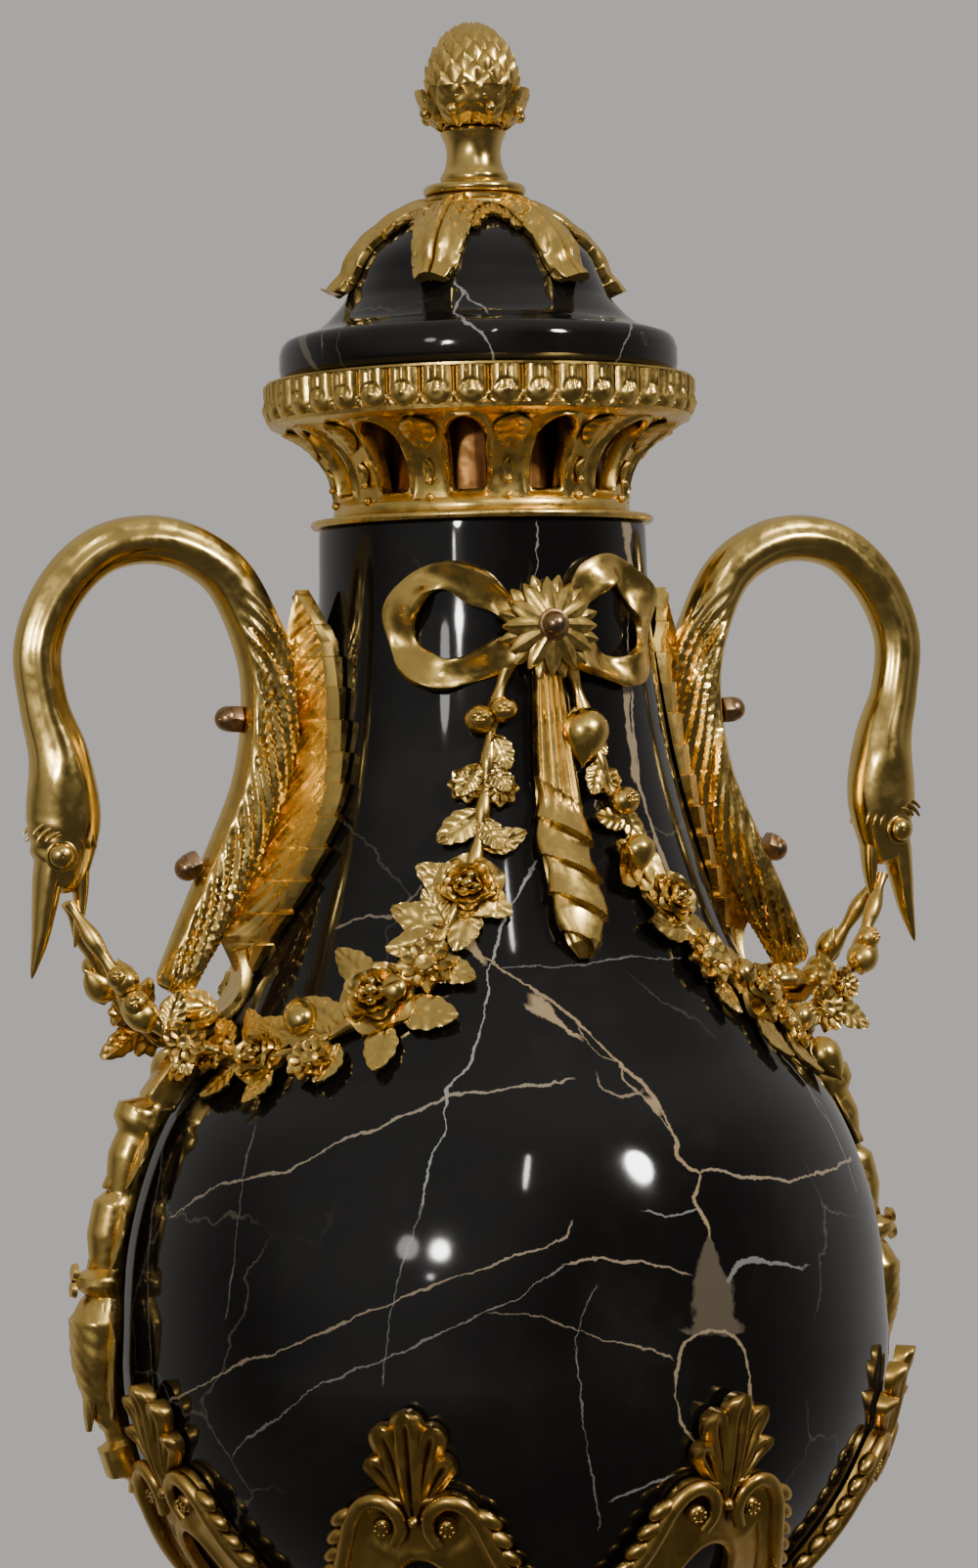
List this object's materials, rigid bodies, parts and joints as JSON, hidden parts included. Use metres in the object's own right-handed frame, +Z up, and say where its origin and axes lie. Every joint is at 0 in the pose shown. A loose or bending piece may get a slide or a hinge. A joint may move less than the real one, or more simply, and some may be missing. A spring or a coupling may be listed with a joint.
{
  "type": "mantel urn",
  "caption": "Lidded black marble mantel urn with gilt-bronze swan handles, flower garlands, ribbon bows and a pierced collar, on a square plinth.",
  "frame": {"origin": "middle of the underside, on the surface that the four feet stand on, on the urn's axis", "axes": "+Z up along the urn's axis, -Y toward the front with one of the two bows, +X and -X toward the swan handles"},
  "size_m": [0.2736, 0.2348, 0.6096],
  "materials": {
    "black_marble": "polished black marble with thin cream, tan and white veins",
    "gilt_bronze": "fire-gilt cast bronze, burnished on the high parts and matt in the hollows",
    "brown_bronze": "turned bronze with a brown lacquer",
    "copper_liner": "bright coppery sheet"
  },
  "bodies": {
    "root": {"plinth_block": "black_marble", "socle": "black_marble", "vase_body": "black_marble", "lid": "black_marble", "foot_front_left": "gilt_bronze", "foot_front_right": "gilt_bronze", "foot_back_left": "gilt_bronze", "foot_back_right": "gilt_bronze", "base_moulding": "gilt_bronze", "plinth_ring": "gilt_bronze", "socle_ring": "gilt_bronze", "knop": "gilt_bronze", "lower_calyx": "gilt_bronze", "gallery_collar": "gilt_bronze", "acanthus_cap": "gilt_bronze", "finial_stem": "gilt_bronze", "pinecone": "gilt_bronze", "swan_handle_left": "gilt_bronze", "swan_handle_right": "gilt_bronze", "wing_plate_left": "gilt_bronze", "wing_plate_right": "gilt_bronze", "side_drop_left": "gilt_bronze", "side_drop_right": "gilt_bronze", "bow_front": "gilt_bronze", "bow_back": "gilt_bronze", "bow_rosette_front": "gilt_bronze", "bow_rosette_back": "gilt_bronze", "garland_front_left": "gilt_bronze", "garland_front_right": "gilt_bronze", "garland_back_left": "gilt_bronze", "garland_back_right": "gilt_bronze", "garland_screw_front_left": "gilt_bronze", "garland_screw_front_right": "gilt_bronze", "garland_screw_back_left": "gilt_bronze", "garland_screw_back_right": "gilt_bronze", "handle_nut_upper_left": "brown_bronze", "handle_nut_lower_left": "brown_bronze", "handle_nut_upper_right": "brown_bronze", "handle_nut_lower_right": "brown_bronze", "rosette_nut_front": "brown_bronze", "rosette_nut_back": "brown_bronze", "collar_liner": "copper_liner"}
  },
  "joints": []
}
